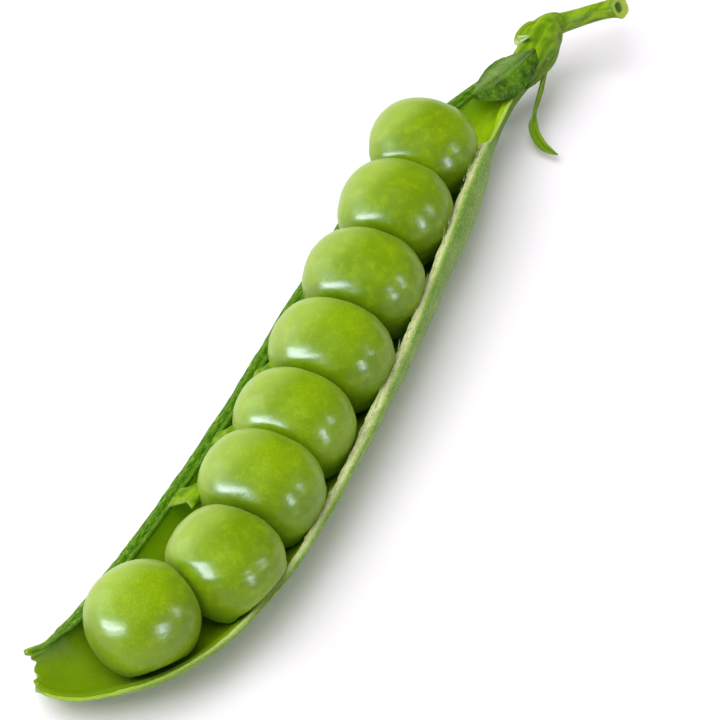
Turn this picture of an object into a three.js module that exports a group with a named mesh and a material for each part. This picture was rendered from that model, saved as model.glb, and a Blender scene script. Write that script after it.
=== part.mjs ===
// A fresh garden pea pod, opened along one side and lying on a table with its eight peas in it.
// The upper valve is torn away, so what is left of the pod is its lower valve, a shallow boat that
// closes into a neck at the stem end and is torn open at the tip. The peas are squeezed against
// each other, and each hangs by a short flat stalk, its funicle, from the straighter seam.
// The calyx is a small cup with five sepals, and a cut length of stem leaves it sideways.
// Millimetres, +Z up. +X runs from the torn tip to the stem, along the pod's longest extent.
// The finished group is moved so that its origin is the middle of the footprint, on the table.
import * as THREE from "three";

// ---- driving dimensions ----
const WALL = 0.8; // the pod's wall
const TIP_WALL = 0.45; // where the wall thins at the torn tip
const NECK_WALL = 1.5; // where the pod fills in towards the stem
const ROLL_DEG = 6; // how far the pod leans, straighter seam down
const GAP = 0.3; // clearance between solids that touch in the real pod
const PEA_SHOULDER = 0.9; // how softly a pea flattens against its neighbour
const FLARE = 0.7; // how fast a pea may widen above the rim
const FUNICLE = { thick: 0.7, atSeam: 1.0, atPea: 1.6, slant: 0.9, turn: 0.1 };
const FUNICLES = 6; // the two peas nearest the tip hang from the valve that is gone
const SEPAL_THICK = 0.34;
const KEEL_FLOOR = 0.8; // the keel's flat inside lies this share of the wall above the table

// ---- mesh density ----
const SHELL_STEPS = 52;
const SHELL_SIDES = 14;
const PEA_SEGMENTS = 20;
const PEA_RINGS = 14;
const STALK_SIDES = 12;
const SEPAL_STEPS = 9;
const HALVINGS = 20; // how finely the section through a point is found

// The valve, as cross-sections square to its spine, from the tip to the neck.
// x, y: spine in plan. half: half the outer width. wide: height of the widest level.
// deep: from there down to the keel. left, right: how far each rim rises above the widest level.
const SECTIONS = [
  { x: -42.6, y: 2.6, half: 2.1, wide: 3.7, deep: 1.5, left: 0.0, right: -1.1 },
  { x: -41.0, y: 0.9, half: 3.4, wide: 4.2, deep: 2.7, left: 0.0, right: -1.3 },
  { x: -38.7, y: -0.7, half: 4.3, wide: 4.8, deep: 3.9, left: 0.0, right: -1.4 },
  { x: -35.1, y: -2.2, half: 5.4, wide: 5.2, deep: 5.0, left: 0.2, right: -1.4 },
  { x: -29.8, y: -3.1, half: 6.1, wide: 5.3, deep: 5.4, left: 0.4, right: -1.5 },
  { x: -22.0, y: -2.9, half: 6.4, wide: 5.2, deep: 5.4, left: 0.6, right: -1.0 },
  { x: -12.0, y: -1.6, half: 6.2, wide: 5.2, deep: 5.4, left: 0.6, right: -0.2 },
  { x: -2.0, y: 0.1, half: 6.0, wide: 5.2, deep: 5.4, left: 0.6, right: 0.8 },
  { x: 7.0, y: 1.8, half: 5.5, wide: 5.2, deep: 5.3, left: 0.6, right: 1.5 },
  { x: 14.0, y: 3.1, half: 5.2, wide: 5.2, deep: 5.0, left: 0.5, right: 2.2 },
  { x: 20.0, y: 4.2, half: 4.3, wide: 5.2, deep: 4.4, left: 0.4, right: 1.6 },
  { x: 25.0, y: 4.4, half: 2.8, wide: 5.2, deep: 3.6, left: 0.3, right: 0.3 },
  { x: 29.0, y: 4.3, half: 1.9, wide: 5.1, deep: 2.6, left: 0.3, right: 0.3 },
  { x: 33.0, y: 3.8, half: 1.3, wide: 5.0, deep: 1.7, left: 0.2, right: 0.3 },
];

// The peas, from the stem end to the tip.
// x, y, z: centre. along, across, high: half sizes before its neighbours flatten it. yaw: degrees.
const PEAS = [
  { x: 18.5, y: 5.6, z: 6.9, along: 4.4, across: 4.8, high: 4.1, yaw: 15 },
  { x: 10.9, y: 3.5, z: 6.9, along: 4.5, across: 5.0, high: 4.7, yaw: 16 },
  { x: 2.9, y: 1.5, z: 6.7, along: 4.5, across: 5.3, high: 4.9, yaw: 13 },
  { x: -4.8, y: -0.3, z: 6.3, along: 4.4, across: 5.4, high: 5.0, yaw: 10 },
  { x: -12.3, y: -1.6, z: 5.9, along: 4.3, across: 5.2, high: 4.9, yaw: 10 },
  { x: -19.3, y: -3.1, z: 6.1, along: 4.5, across: 5.3, high: 4.9, yaw: 8 },
  { x: -27.0, y: -4.8, z: 5.7, along: 4.8, across: 5.1, high: 4.6, yaw: 2 },
  { x: -34.9, y: -2.2, z: 5.8, along: 4.6, across: 4.5, high: 4.5, yaw: -20 },
];

// The calyx cup and the stem: the middle and radius of rings, from the neck outwards.
const CUP = [
  { x: 33.7, y: 3.9, z: 4.9, r: 1.5 },
  { x: 35.0, y: 3.9, z: 5.0, r: 1.75 },
  { x: 36.8, y: 4.2, z: 5.2, r: 1.85 },
  { x: 38.1, y: 4.4, z: 5.3, r: 1.3 },
];
const STEM = [
  { x: 38.8, y: 4.1, z: 5.2, r: 0.95 },
  { x: 40.3, y: 3.1, z: 5.2, r: 0.8 },
  { x: 42.0, y: 1.7, z: 5.4, r: 0.75 },
  { x: 43.2, y: 0.5, z: 5.6, r: 0.8 },
  { x: 44.0, y: -0.3, z: 5.7, r: 1.0 },
];

// Each sepal: points along its midrib from the cup to its tip, with the way its face looks there.
// wide: its greatest half width. peak: how far along that is.
const SEPALS = {
  sepal_over_neck: {
    wide: 1.75,
    peak: 0.5,
    midrib: [
      { at: [33.0, 3.5, 6.9], face: [0, 0, 1] },
      { at: [31.4, 3.7, 6.9], face: [0, -0.1, 1] },
      { at: [28.9, 4.2, 6.7], face: [-0.1, -0.1, 1] },
      { at: [26.3, 5.4, 6.4], face: [-0.1, 0, 1] },
    ],
  },
  sepal_hanging: {
    wide: 0.45,
    peak: 0.75,
    midrib: [
      { at: [33.4, 1.8, 4.4], face: [0, -1, 0] },
      { at: [31.6, 1.4, 3.7], face: [0, -1, 0.2] },
      { at: [30.3, 1.2, 2.7], face: [-0.3, -0.9, 0.4] },
      { at: [29.3, 0.6, 1.9], face: [-0.6, -0.5, 0.6] },
      { at: [28.7, -0.8, 1.2], face: [-0.8, 0, 0.6] },
      { at: [28.8, -2.3, 0.8], face: [-0.8, 0.2, 0.6] },
    ],
  },
  sepal_curled: {
    wide: 0.9,
    peak: 0.4,
    midrib: [
      { at: [35.8, 6.4, 4.6], face: [0, 1, 0.1] },
      { at: [34.9, 6.3, 5.3], face: [0, 1, 0.2] },
      { at: [34.2, 6.2, 6.1], face: [-0.3, 1, 0.3] },
    ],
  },
  sepal_near_side: {
    wide: 0.7,
    peak: 0.4,
    midrib: [
      { at: [33.3, 1.8, 6.1], face: [0, -1, 0.4] },
      { at: [32.0, 1.7, 5.5], face: [0, -1, 0.2] },
      { at: [30.6, 1.5, 4.9], face: [0, -1, 0] },
    ],
  },
  sepal_below: {
    wide: 1.2,
    peak: 0.5,
    midrib: [
      { at: [34.0, 4.4, 2.7], face: [0, 0, -1] },
      { at: [31.6, 4.9, 2.4], face: [0, 0, -1] },
      { at: [28.8, 5.3, 1.7], face: [-0.2, 0, -1] },
    ],
  },
};

const UP = new THREE.Vector3(0, 0, 1);
const rad = THREE.MathUtils.degToRad;
const { clamp, lerp, smoothstep } = THREE.MathUtils;

// The value of one field of a table at u, which runs from 0 at its first row to 1 at its last.
// A smooth curve goes through the rows.
function along(rows, field, u) {
  const place = u * (rows.length - 1);
  const i = Math.min(rows.length - 2, Math.floor(place));
  const t = place - i;
  const value = (k) => rows[clamp(k, 0, rows.length - 1)][field];
  const [before, from, to, after] = [value(i - 1), value(i), value(i + 1), value(i + 2)];
  const slopeFrom = (to - before) / 2;
  const slopeTo = (after - from) / 2;
  return (
    from * (1 + t * t * (2 * t - 3)) +
    to * t * t * (3 - 2 * t) +
    slopeFrom * t * (1 - t) * (1 - t) -
    slopeTo * t * t * (1 - t)
  );
}

function pointAlong(rows, u) {
  return new THREE.Vector3(along(rows, "x", u), along(rows, "y", u), along(rows, "z", u));
}

function tangentAlong(rows, u) {
  const step = 0.01;
  const ahead = pointAlong(rows, Math.min(1, u + step));
  return ahead.sub(pointAlong(rows, Math.max(0, u - step))).normalize();
}

// ---- lofted solids ----

// Two triangles a, b, c and a, c, d.
const quad = (a, b, c, d) => [a, b, c, a, c, d];

// The triangles of a fan over a ring of n points, for a convex ring.
function fanCap(n) {
  const triangles = [];
  for (let i = 1; i + 1 < n; i++) triangles.push(0, i, i + 1);
  return triangles;
}

// The same for a C shape, whose first half runs along the outside and second half back inside.
function wallCap(n) {
  const triangles = [];
  for (let i = 0; i + 1 < n / 2; i++) triangles.push(...quad(i, i + 1, n - 2 - i, n - 1 - i));
  return triangles;
}

// A closed solid through rings of points. The rings turn clockwise as seen from the first one.
function loft(rings, cap) {
  const n = rings[0].length;
  const positions = rings.flat().flatMap((p) => p.toArray());
  const index = [];
  for (let k = 0; k + 1 < rings.length; k++) {
    for (let i = 0; i < n; i++) {
      const j = (i + 1) % n;
      index.push(...quad(k * n + i, k * n + j, (k + 1) * n + j, (k + 1) * n + i));
    }
  }
  const last = (rings.length - 1) * n;
  const ends = cap(n);
  index.push(...[...ends].reverse(), ...ends.map((i) => last + i));
  const geometry = new THREE.BufferGeometry();
  geometry.setAttribute("position", new THREE.Float32BufferAttribute(positions, 3));
  geometry.setIndex(index);
  return geometry;
}

// ---- the valve ----

// The wall thins at the torn tip and fills the pod where it narrows into the neck.
function wallAt(u, section) {
  const tipWall = lerp(TIP_WALL, WALL, smoothstep(u, 0, 0.2));
  const wall = lerp(tipWall, NECK_WALL, smoothstep(u, 0.82, 1));
  return Math.min(wall, section.half - 0.3, section.deep - 0.3);
}

// The cross-section at u: its sizes, its middle and its two directions.
function sectionAt(u) {
  const section = {};
  for (const field of Object.keys(SECTIONS[0])) section[field] = along(SECTIONS, field, u);
  section.z = section.wide;
  const step = 0.005;
  const [before, after] = [Math.max(0, u - step), Math.min(1, u + step)];
  section.tangent = new THREE.Vector3(
    along(SECTIONS, "x", after) - along(SECTIONS, "x", before),
    along(SECTIONS, "y", after) - along(SECTIONS, "y", before),
    0,
  ).normalize();
  const level = new THREE.Vector3().crossVectors(UP, section.tangent); // to the straighter seam
  section.side = level.clone().applyAxisAngle(section.tangent, -rad(ROLL_DEG));
  section.rise = UP.clone().applyAxisAngle(section.tangent, -rad(ROLL_DEG));
  section.middle = new THREE.Vector3(section.x, section.y, section.wide);
  section.wall = wallAt(u, section);
  return section;
}

// A point of the cross-section, inset from its outside.
// turn runs from 0 at the rim of the straighter seam, down round the keel, to 1 at the other rim.
function sectionPoint(section, turn, inset) {
  const across = section.half - inset;
  const down = section.deep - inset;
  const start = -Math.asin(section.left / section.deep);
  const end = Math.PI + Math.asin(section.right / section.deep);
  const angle = lerp(start, end, turn);
  const point = section.middle
    .clone()
    .addScaledVector(section.side, across * Math.cos(angle))
    .addScaledVector(section.rise, -down * Math.sin(angle));
  point.z = Math.max(point.z, inset * KEEL_FLOOR); // the keel is flat where it rests on the table
  return point;
}

function valveGeometry() {
  const rings = [];
  for (let k = 0; k <= SHELL_STEPS; k++) {
    const section = sectionAt(k / SHELL_STEPS);
    const outside = [];
    const inside = [];
    for (let i = 0; i <= SHELL_SIDES; i++) {
      outside.unshift(sectionPoint(section, i / SHELL_SIDES, 0));
      inside.push(sectionPoint(section, i / SHELL_SIDES, section.wall));
    }
    rings.push([...outside, ...inside]);
  }
  return loft(rings, wallCap);
}

// The cross-section whose plane goes through a point.
function sectionThrough(point) {
  let [low, high] = [0, 1];
  for (let halving = 0; halving < HALVINGS; halving++) {
    const u = (low + high) / 2;
    const section = sectionAt(u);
    const ahead = point.clone().sub(section.middle).dot(section.tangent) > 0;
    [low, high] = ahead ? [u, high] : [low, u];
  }
  return sectionAt((low + high) / 2);
}

// Moves a point that is in the valve's wall to just inside it.
function keepInsideValve(point) {
  const section = sectionThrough(point);
  const offset = point.clone().sub(section.middle);
  const a = offset.dot(section.side);
  const b = offset.dot(section.rise);
  const rim = a > 0 ? section.left : section.right;
  const above = Math.max(0, b - rim); // room grows above the rim
  const across = section.half - section.wall - GAP + FLARE * above;
  const down = section.deep - section.wall - GAP;
  const reach = Math.hypot(a / across, Math.min(b, 0) / down);
  if (reach <= 1) return;
  point.addScaledVector(section.side, a / reach - a);
  if (b < 0) point.addScaledVector(section.rise, b / reach - b);
}

// ---- the peas ----

const centreOf = ({ x, y, z }) => new THREE.Vector3(x, y, z);

// A distance that may not pass a limit, eased into it from one shoulder short of it.
function easedTo(limit, distance) {
  const start = limit - PEA_SHOULDER;
  if (distance <= start) return distance;
  return limit - PEA_SHOULDER * Math.exp(-(distance - start) / PEA_SHOULDER);
}

// A pea: an ellipsoid, flattened where a neighbour presses on it, and inside the valve.
function peaGeometry(pea, neighbours) {
  const centre = centreOf(pea);
  const contacts = neighbours.map((other) => {
    const way = centreOf(other).sub(centre);
    return { limit: way.length() / 2 - GAP / 2, way: way.normalize() };
  });
  const geometry = new THREE.SphereGeometry(1, PEA_SEGMENTS, PEA_RINGS);
  geometry.rotateX(Math.PI / 2);
  geometry.scale(pea.along, pea.across, pea.high);
  geometry.rotateZ(rad(pea.yaw));
  const position = geometry.getAttribute("position");
  const point = new THREE.Vector3();
  for (let i = 0; i < position.count; i++) {
    point.fromBufferAttribute(position, i);
    for (const { limit, way } of contacts) {
      const reach = point.dot(way);
      point.addScaledVector(way, easedTo(limit, reach) - reach);
    }
    point.add(centre);
    keepInsideValve(point);
    position.setXYZ(i, point.x, point.y, point.z);
  }
  return geometry;
}

// How far a pea reaches from its centre along a level or sloping direction.
function peaReach(pea, way) {
  const local = way.clone().applyAxisAngle(UP, -rad(pea.yaw));
  return 1 / Math.hypot(local.x / pea.along, local.y / pea.across, local.z / pea.high);
}

// A funicle: a short flat stalk from the straighter seam to its pea, slanting towards the tip.
function funicleGeometry(pea) {
  const centre = centreOf(pea);
  const section = sectionThrough(new THREE.Vector3(pea.x - FUNICLE.slant * pea.along, pea.y, 0));
  const seam = sectionPoint(section, FUNICLE.turn, section.wall + GAP);
  const way = seam.clone().sub(centre).normalize();
  const start = centre.clone().addScaledVector(way, peaReach(pea, way) + 2 * GAP);
  const rings = [];
  for (const [at, wide] of [[start, FUNICLE.atPea], [seam, FUNICLE.atSeam]]) {
    const ring = [];
    for (const [across, up] of [[-1, -1], [-1, 1], [1, 1], [1, -1]]) {
      ring.push(
        at
          .clone()
          .addScaledVector(section.tangent, (across * wide) / 2)
          .addScaledVector(UP, (up * FUNICLE.thick) / 2),
      );
    }
    rings.push(ring);
  }
  return loft(rings, fanCap);
}

// ---- the calyx and the stem ----

// A round stalk through rings of a table.
function stalkGeometry(rows, steps) {
  const rings = [];
  for (let k = 0; k <= steps; k++) {
    const u = k / steps;
    const tangent = tangentAlong(rows, u);
    const side = new THREE.Vector3().crossVectors(UP, tangent).normalize();
    const rise = new THREE.Vector3().crossVectors(tangent, side);
    const radius = along(rows, "r", u);
    const ring = [];
    for (let i = 0; i < STALK_SIDES; i++) {
      const angle = (2 * Math.PI * i) / STALK_SIDES;
      ring.push(
        pointAlong(rows, u)
          .addScaledVector(side, radius * Math.cos(angle))
          .addScaledVector(rise, radius * Math.sin(angle)),
      );
    }
    rings.push(ring);
  }
  return loft(rings, fanCap);
}

// A sepal: a thin leaf along its midrib, thickest in the middle.
function sepalGeometry({ midrib, wide, peak }) {
  const ribs = midrib.map(({ at: [x, y, z] }) => ({ x, y, z }));
  const faces = midrib.map(({ face: [x, y, z] }) => ({ x, y, z }));
  const rings = [];
  for (let k = 0; k <= SEPAL_STEPS; k++) {
    const u = k / SEPAL_STEPS;
    const tangent = tangentAlong(ribs, u);
    const side = pointAlong(faces, u).cross(tangent).normalize();
    const face = new THREE.Vector3().crossVectors(tangent, side);
    const swell = u < peak ? lerp(0.4, 1, u / peak) : (1 - u) / (1 - peak);
    const half = Math.max(0.15, wide * Math.sin((Math.PI / 2) * swell));
    const ring = [];
    for (let i = 0; i < 6; i++) {
      const angle = (Math.PI * i) / 3;
      ring.push(
        pointAlong(ribs, u)
          .addScaledVector(side, half * Math.cos(angle))
          .addScaledVector(face, (SEPAL_THICK / Math.sqrt(3)) * Math.sin(angle)),
      );
    }
    rings.push(ring);
  }
  return loft(rings, fanCap);
}

// ---- the pod ----

const finish = (color, roughness) =>
  new THREE.MeshStandardMaterial({ color, roughness, metalness: 0 });
const POD_WALL = finish(0x6f9f1c, 0.5);
const PEA_SKIN = finish(0x86b812, 0.3);
const STALK_SKIN = finish(0x8fb93a, 0.5);
const SEPAL_LEAF = finish(0x4f8a12, 0.55);

const pod = new THREE.Group();

function add(name, geometry, material) {
  const mesh = new THREE.Mesh(geometry, material);
  mesh.name = name;
  pod.add(mesh);
}

add("pod_valve", valveGeometry(), POD_WALL);
PEAS.forEach((pea, i) => {
  const neighbours = [PEAS[i - 1], PEAS[i + 1]].filter(Boolean);
  add(`pea_${i + 1}`, peaGeometry(pea, neighbours), PEA_SKIN);
});
PEAS.slice(0, FUNICLES).forEach((pea, i) => {
  add(`funicle_${i + 1}`, funicleGeometry(pea), STALK_SKIN);
});
add("calyx_cup", stalkGeometry(CUP, 6), STALK_SKIN);
for (const [name, sepal] of Object.entries(SEPALS)) add(name, sepalGeometry(sepal), SEPAL_LEAF);
add("stem", stalkGeometry(STEM, 8), STALK_SKIN);

const box = new THREE.Box3().setFromObject(pod);
pod.position.set(-(box.min.x + box.max.x) / 2, -(box.min.y + box.max.y) / 2, -box.min.z);

export default pod;
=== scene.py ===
"""The looks of a fresh garden pea pod, opened along one side, with its eight peas in it.

The sizes below are in millimetres in the drawing's own frame: +X runs from the torn tip to the stem
and +Z is up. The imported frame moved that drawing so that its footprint's middle is the origin, and
the stem's box in the frame says by how much.
"""

import math

import bmesh
import bpy
import numpy as np
from mathutils import Matrix, Vector


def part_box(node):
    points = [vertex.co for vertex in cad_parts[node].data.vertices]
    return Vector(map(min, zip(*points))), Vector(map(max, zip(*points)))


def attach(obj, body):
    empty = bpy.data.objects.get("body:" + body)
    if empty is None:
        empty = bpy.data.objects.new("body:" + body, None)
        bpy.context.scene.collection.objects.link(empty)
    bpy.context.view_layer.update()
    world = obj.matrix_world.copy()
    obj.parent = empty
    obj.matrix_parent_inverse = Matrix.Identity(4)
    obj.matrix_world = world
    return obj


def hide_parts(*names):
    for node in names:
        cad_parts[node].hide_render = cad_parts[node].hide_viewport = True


bl_info = {
    "name": "Garden pea pod",
    "version": (1, 0, 0),
    "blender": (4, 5, 0),
    "location": "View3D > Sidebar > Pea pod",
    "description": "Builds an opened pea pod with its peas, calyx and stem around its packed frame",
    "category": "Add Mesh",
}

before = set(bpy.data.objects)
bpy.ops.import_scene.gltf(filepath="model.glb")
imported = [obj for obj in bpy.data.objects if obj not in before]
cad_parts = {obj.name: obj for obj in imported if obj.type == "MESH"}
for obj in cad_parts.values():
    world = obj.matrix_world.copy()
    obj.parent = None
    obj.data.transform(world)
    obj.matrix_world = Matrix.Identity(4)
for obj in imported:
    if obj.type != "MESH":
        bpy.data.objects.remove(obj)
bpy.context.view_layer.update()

MM = 0.001
BODY = "root"
UP = np.array([0.0, 0.0, 1.0])

# ---- the pod's sizes, in mm ----

ROLL = math.radians(6)  # how far the pod leans, straighter seam down
TIP_WALL, WALL, NECK_WALL = 0.45, 0.8, 1.5
FLOOR_SLOPE, FLOOR_GAP = 0.8, 0.02  # the wall keeps its thickness where the table flattens the keel

# x, y: spine. half: half the outer width. wide: height of the widest level. deep: down to the keel.
# left, right: how far each rim rises above the widest level.
SECTIONS = np.array([
    (-42.6, 2.6, 2.1, 3.7, 1.5, 0.0, -1.1),
    (-41.0, 0.9, 3.4, 4.2, 2.7, 0.0, -1.3),
    (-38.7, -0.7, 4.3, 4.8, 3.9, 0.0, -1.4),
    (-35.1, -2.2, 5.4, 5.2, 5.0, 0.2, -1.4),
    (-29.8, -3.1, 6.1, 5.3, 5.4, 0.4, -1.5),
    (-22.0, -2.9, 6.4, 5.2, 5.4, 0.6, -1.0),
    (-12.0, -1.6, 6.2, 5.2, 5.4, 0.6, -0.2),
    (-2.0, 0.1, 6.0, 5.2, 5.4, 0.6, 0.8),
    (7.0, 1.8, 5.5, 5.2, 5.3, 0.6, 1.5),
    (14.0, 3.1, 5.2, 5.2, 5.0, 0.5, 2.2),
    (20.0, 4.2, 4.3, 5.2, 4.4, 0.4, 1.6),
    (25.0, 4.4, 2.8, 5.2, 3.6, 0.3, 0.3),
    (29.0, 4.3, 1.9, 5.1, 2.6, 0.3, 0.3),
    (33.0, 3.8, 1.3, 5.0, 1.7, 0.2, 0.3),
])

# Peas from the stem end: centre, half sizes along, across and high, and yaw in degrees.
PEAS = [
    (18.5, 5.6, 6.9, 4.4, 4.8, 4.1, 15),
    (10.9, 3.5, 6.9, 4.5, 5.0, 4.7, 16),
    (2.9, 1.5, 6.7, 4.5, 5.3, 4.9, 13),
    (-4.8, -0.3, 6.3, 4.4, 5.4, 5.0, 10),
    (-12.3, -1.6, 5.9, 4.3, 5.2, 4.9, 10),
    (-19.3, -3.1, 6.1, 4.5, 5.3, 4.9, 8),
    (-26.8, -4.7, 5.7, 4.5, 4.9, 4.5, 2),
    (-34.9, -2.2, 5.8, 4.6, 4.5, 4.5, -20),
]
FUNICLES = 6

# Middle and radius of rings. The calyx starts flush on the neck, swells, and runs into the stem.
CALYX_SLEEVE = np.array([
    (30.0, 4.3, 4.6, 1.3),
    (31.4, 4.1, 4.7, 1.5),
    (33.2, 3.9, 4.9, 1.65),
    (35.2, 3.95, 5.0, 1.8),
    (36.8, 4.25, 5.2, 1.65),
    (38.1, 4.4, 5.3, 1.3),
    (39.2, 4.0, 5.2, 0.95),
])
STEM_ROOT = (37.4, 4.45, 5.25, 1.1)  # the stem's skin starts inside the calyx
STEM = np.array([
    (38.8, 4.1, 5.2, 0.95),
    (40.3, 3.1, 5.2, 0.8),
    (42.0, 1.7, 5.4, 0.75),
    (43.2, 0.5, 5.6, 0.8),
    (44.0, -0.3, 5.7, 1.0),
])

# Each sepal: greatest half width, how far along it is, and its midrib: a point and the way it faces.
SEPALS = {
    "sepal_over_neck": (1.95, 0.6, [
        ((33.9, 3.6, 6.6), (0, 0, 1)),
        ((31.4, 3.7, 6.9), (0, -0.1, 1)),
        ((28.9, 4.2, 6.7), (-0.1, -0.1, 1)),
        ((26.3, 5.4, 6.4), (-0.1, 0, 1)),
    ]),
    "sepal_hanging": (0.48, 0.75, [
        ((34.4, 2.5, 4.7), (0, -1, 0)),
        ((32.2, 1.7, 4.1), (0, -1, 0.2)),
        ((30.3, 1.2, 2.7), (-0.3, -0.9, 0.4)),
        ((29.3, 0.6, 1.9), (-0.6, -0.5, 0.6)),
        ((28.7, -0.8, 1.2), (-0.8, 0, 0.6)),
        ((28.8, -2.3, 0.8), (-0.8, 0.2, 0.6)),
    ]),
    "sepal_curled": (0.5, 0.6, [
        ((37.2, 4.9, 5.9), (-0.3, 0.2, 1)),
        ((36.6, 5.6, 6.2), (-0.4, 0.3, 1)),
        ((35.7, 5.9, 5.9), (-0.5, 0.2, 0.8)),
        ((34.8, 5.7, 5.7), (-0.6, -0.1, 0.8)),
        ((34.3, 5.2, 6.6), (-0.6, -0.2, 0.8)),
        ((34.6, 4.4, 7.3), (-0.5, -0.2, 0.9)),
    ]),
    "sepal_near_side": (0.7, 0.4, [
        ((34.0, 2.4, 5.8), (0, -1, 0.5)),
        ((32.4, 2.3, 5.4), (0, -1, 0.4)),
        ((30.8, 2.5, 4.9), (0, -1, 0.3)),
    ]),
    "sepal_below": (1.2, 0.5, [
        ((35.0, 4.2, 3.9), (0, 0, -1)),
        ((33.2, 4.4, 3.0), (0, 0, -1)),
        ((31.2, 4.9, 2.4), (0, 0, -1)),
        ((28.8, 5.3, 1.8), (-0.2, 0, -1)),
    ]),
}

# How yellow a sepal still is, where it isn't full grown.
YOUNG = {"sepal_hanging": 0.6, "sepal_near_side": 0.4, "sepal_curled": 0.75}


# ---- curves and noise ----


def smoothstep(x, low, high):
    """0 below low, 1 above high, and smooth between them."""
    t = np.clip((x - low) / (high - low), 0.0, 1.0)
    return t * t * (3 - 2 * t)


def lerp(a, b, t):
    """From a at t = 0 to b at t = 1."""
    return a + (b - a) * t


def unit(vectors):
    """The vectors, each one long."""
    return vectors / np.linalg.norm(vectors, axis=-1, keepdims=True)


def along(rows, u):
    """Points of the smooth curve through the rows, for u from 0 at the first to 1 at the last."""
    rows = np.asarray(rows, float)
    last = len(rows) - 1
    place = np.atleast_1d(u) * last
    i = np.minimum(last - 1, np.floor(place)).astype(int)
    t = (place - i)[:, None]
    before, start, end, after = (rows[np.clip(i + k, 0, last)] for k in (-1, 0, 1, 2))
    slope_in, slope_out = (end - before) / 2, (after - start) / 2
    return (
        start * (1 + t * t * (2 * t - 3))
        + end * t * t * (3 - 2 * t)
        + slope_in * t * (1 - t) ** 2
        - slope_out * t * t * (1 - t)
    )


def tangents(rows, u, step=0.01):
    """The way that the curve through the rows runs at u."""
    ahead = along(rows, np.minimum(1, np.atleast_1d(u) + step))
    return unit(ahead - along(rows, np.maximum(0, np.atleast_1d(u) - step)))


def waves(x, seed, wavelength, octaves=3):
    """Smooth seeded noise of about -1 to 1 along one length, in mm."""
    draw = np.random.default_rng(seed)
    total, size = np.zeros_like(x, float), 1.0
    for _ in range(octaves):
        for _ in range(3):
            pitch = wavelength * draw.uniform(0.7, 1.4)
            total = total + size * np.sin(2 * math.pi * x / pitch + draw.uniform(0, 2 * math.pi)) / 3
        wavelength, size = wavelength / 2.1, size * 0.55
    return total


def steps(x, seed, pitch):
    """Seeded noise of 0 to 1 that holds a value for about one pitch and then jumps, as a tear does."""
    draw = np.random.default_rng(seed)
    values = draw.uniform(0, 1, 400)
    place = (x - x.min()) / pitch + 0.3 * waves(x, seed + 1, pitch * 2.3)
    i = np.clip(np.floor(place).astype(int), 0, 398)
    t = smoothstep(place - np.floor(place), 0.78, 1.0)
    return lerp(values[i], values[i + 1], t)


# ---- meshes ----


def stalk_rings(rows, count, sides, relief=None):
    """Rings round a stalk's path. relief(u, angle) adds to the radius."""
    u = np.linspace(0, 1, count)
    middle = along(rows, u)
    way = tangents(rows[:, :3], u)
    side = unit(np.cross(UP, way))
    rise = np.cross(way, side)
    angle = 2 * math.pi * np.arange(sides) / sides
    radius = middle[:, 3:4] + (0 if relief is None else relief(u[:, None], angle[None, :]))
    radius = radius * np.ones((count, sides))
    return (
        middle[:, None, :3]
        + side[:, None] * (radius * np.cos(angle))[..., None]
        + rise[:, None] * (radius * np.sin(angle))[..., None]
    )


def drawing_shift():
    """How far the frame moved the drawing: the stem's box against the stem as drawn in CAD."""
    drawn = stalk_rings(STEM, 9, 12).reshape(-1, 3)
    low, high = (np.array(corner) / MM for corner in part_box("stem"))
    return np.array([high[0] - drawn[:, 0].max(), low[1] - drawn[:, 1].min(), 0.0])


SHIFT = drawing_shift()


def linked(name, data):
    """A new object in the scene, at the origin."""
    made = bpy.data.objects.new(name, data)
    bpy.context.scene.collection.objects.link(made)
    return made


def make_piece(name, points, faces, material, replaced, data=None):
    """A finished piece of the object from points in drawing mm, standing for its CAD node."""
    mesh = bpy.data.meshes.new(name)
    place = (np.asarray(points) + SHIFT) * MM
    mesh.from_pydata(place.tolist(), [], [list(map(int, face)) for face in faces])
    mesh.validate()
    mesh.polygons.foreach_set("use_smooth", [True] * len(mesh.polygons))
    for key, values in (data or {}).items():
        layer = mesh.attributes.new(key, "FLOAT", "POINT")
        layer.data.foreach_set("value", np.asarray(values, np.float32).ravel())
    mesh.materials.append(material)
    piece = linked(name, mesh)
    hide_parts(replaced)
    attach(piece, BODY)
    return piece


def loft_faces(count, around):
    """Quads between rings of points. Rings that turn anticlockwise along the path face outwards."""
    faces = []
    for k in range(count - 1):
        for i in range(around):
            j = (i + 1) % around
            faces.append((k * around + i, k * around + j, (k + 1) * around + j, (k + 1) * around + i))
    return faces


def face_outwards(piece):
    """Turns a closed piece's faces outwards if its volume comes out negative."""
    shape = bmesh.new()
    shape.from_mesh(piece.data)
    if shape.calc_volume(signed=True) < 0:
        bmesh.ops.reverse_faces(shape, faces=shape.faces)
        shape.to_mesh(piece.data)
    shape.free()


# ---- materials ----


def from_hex(text):
    return tuple(int(text[i:i + 2], 16) / 255 for i in (1, 3, 5))


def linear(hex_colour):
    """An sRGB hex colour as linear RGBA."""
    parts = from_hex(hex_colour)
    return (*[c / 12.92 if c <= 0.04045 else ((c + 0.055) / 1.055) ** 2.4 for c in parts], 1.0)


def node(tree, kind, inputs=None, **settings):
    """Adds a node. An input is a value, or a socket to link from."""
    made = tree.nodes.new(kind)
    for key, value in settings.items():
        setattr(made, key, value)
    for key, value in (inputs or {}).items():
        if isinstance(value, bpy.types.NodeSocket):
            tree.links.new(value, made.inputs[key])
        else:
            made.inputs[key].default_value = value
    return made


def new_material(name):
    """A material with an empty node tree."""
    material = bpy.data.materials.new(name)
    material.use_nodes = True
    material.node_tree.nodes.clear()
    return material, material.node_tree


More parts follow.
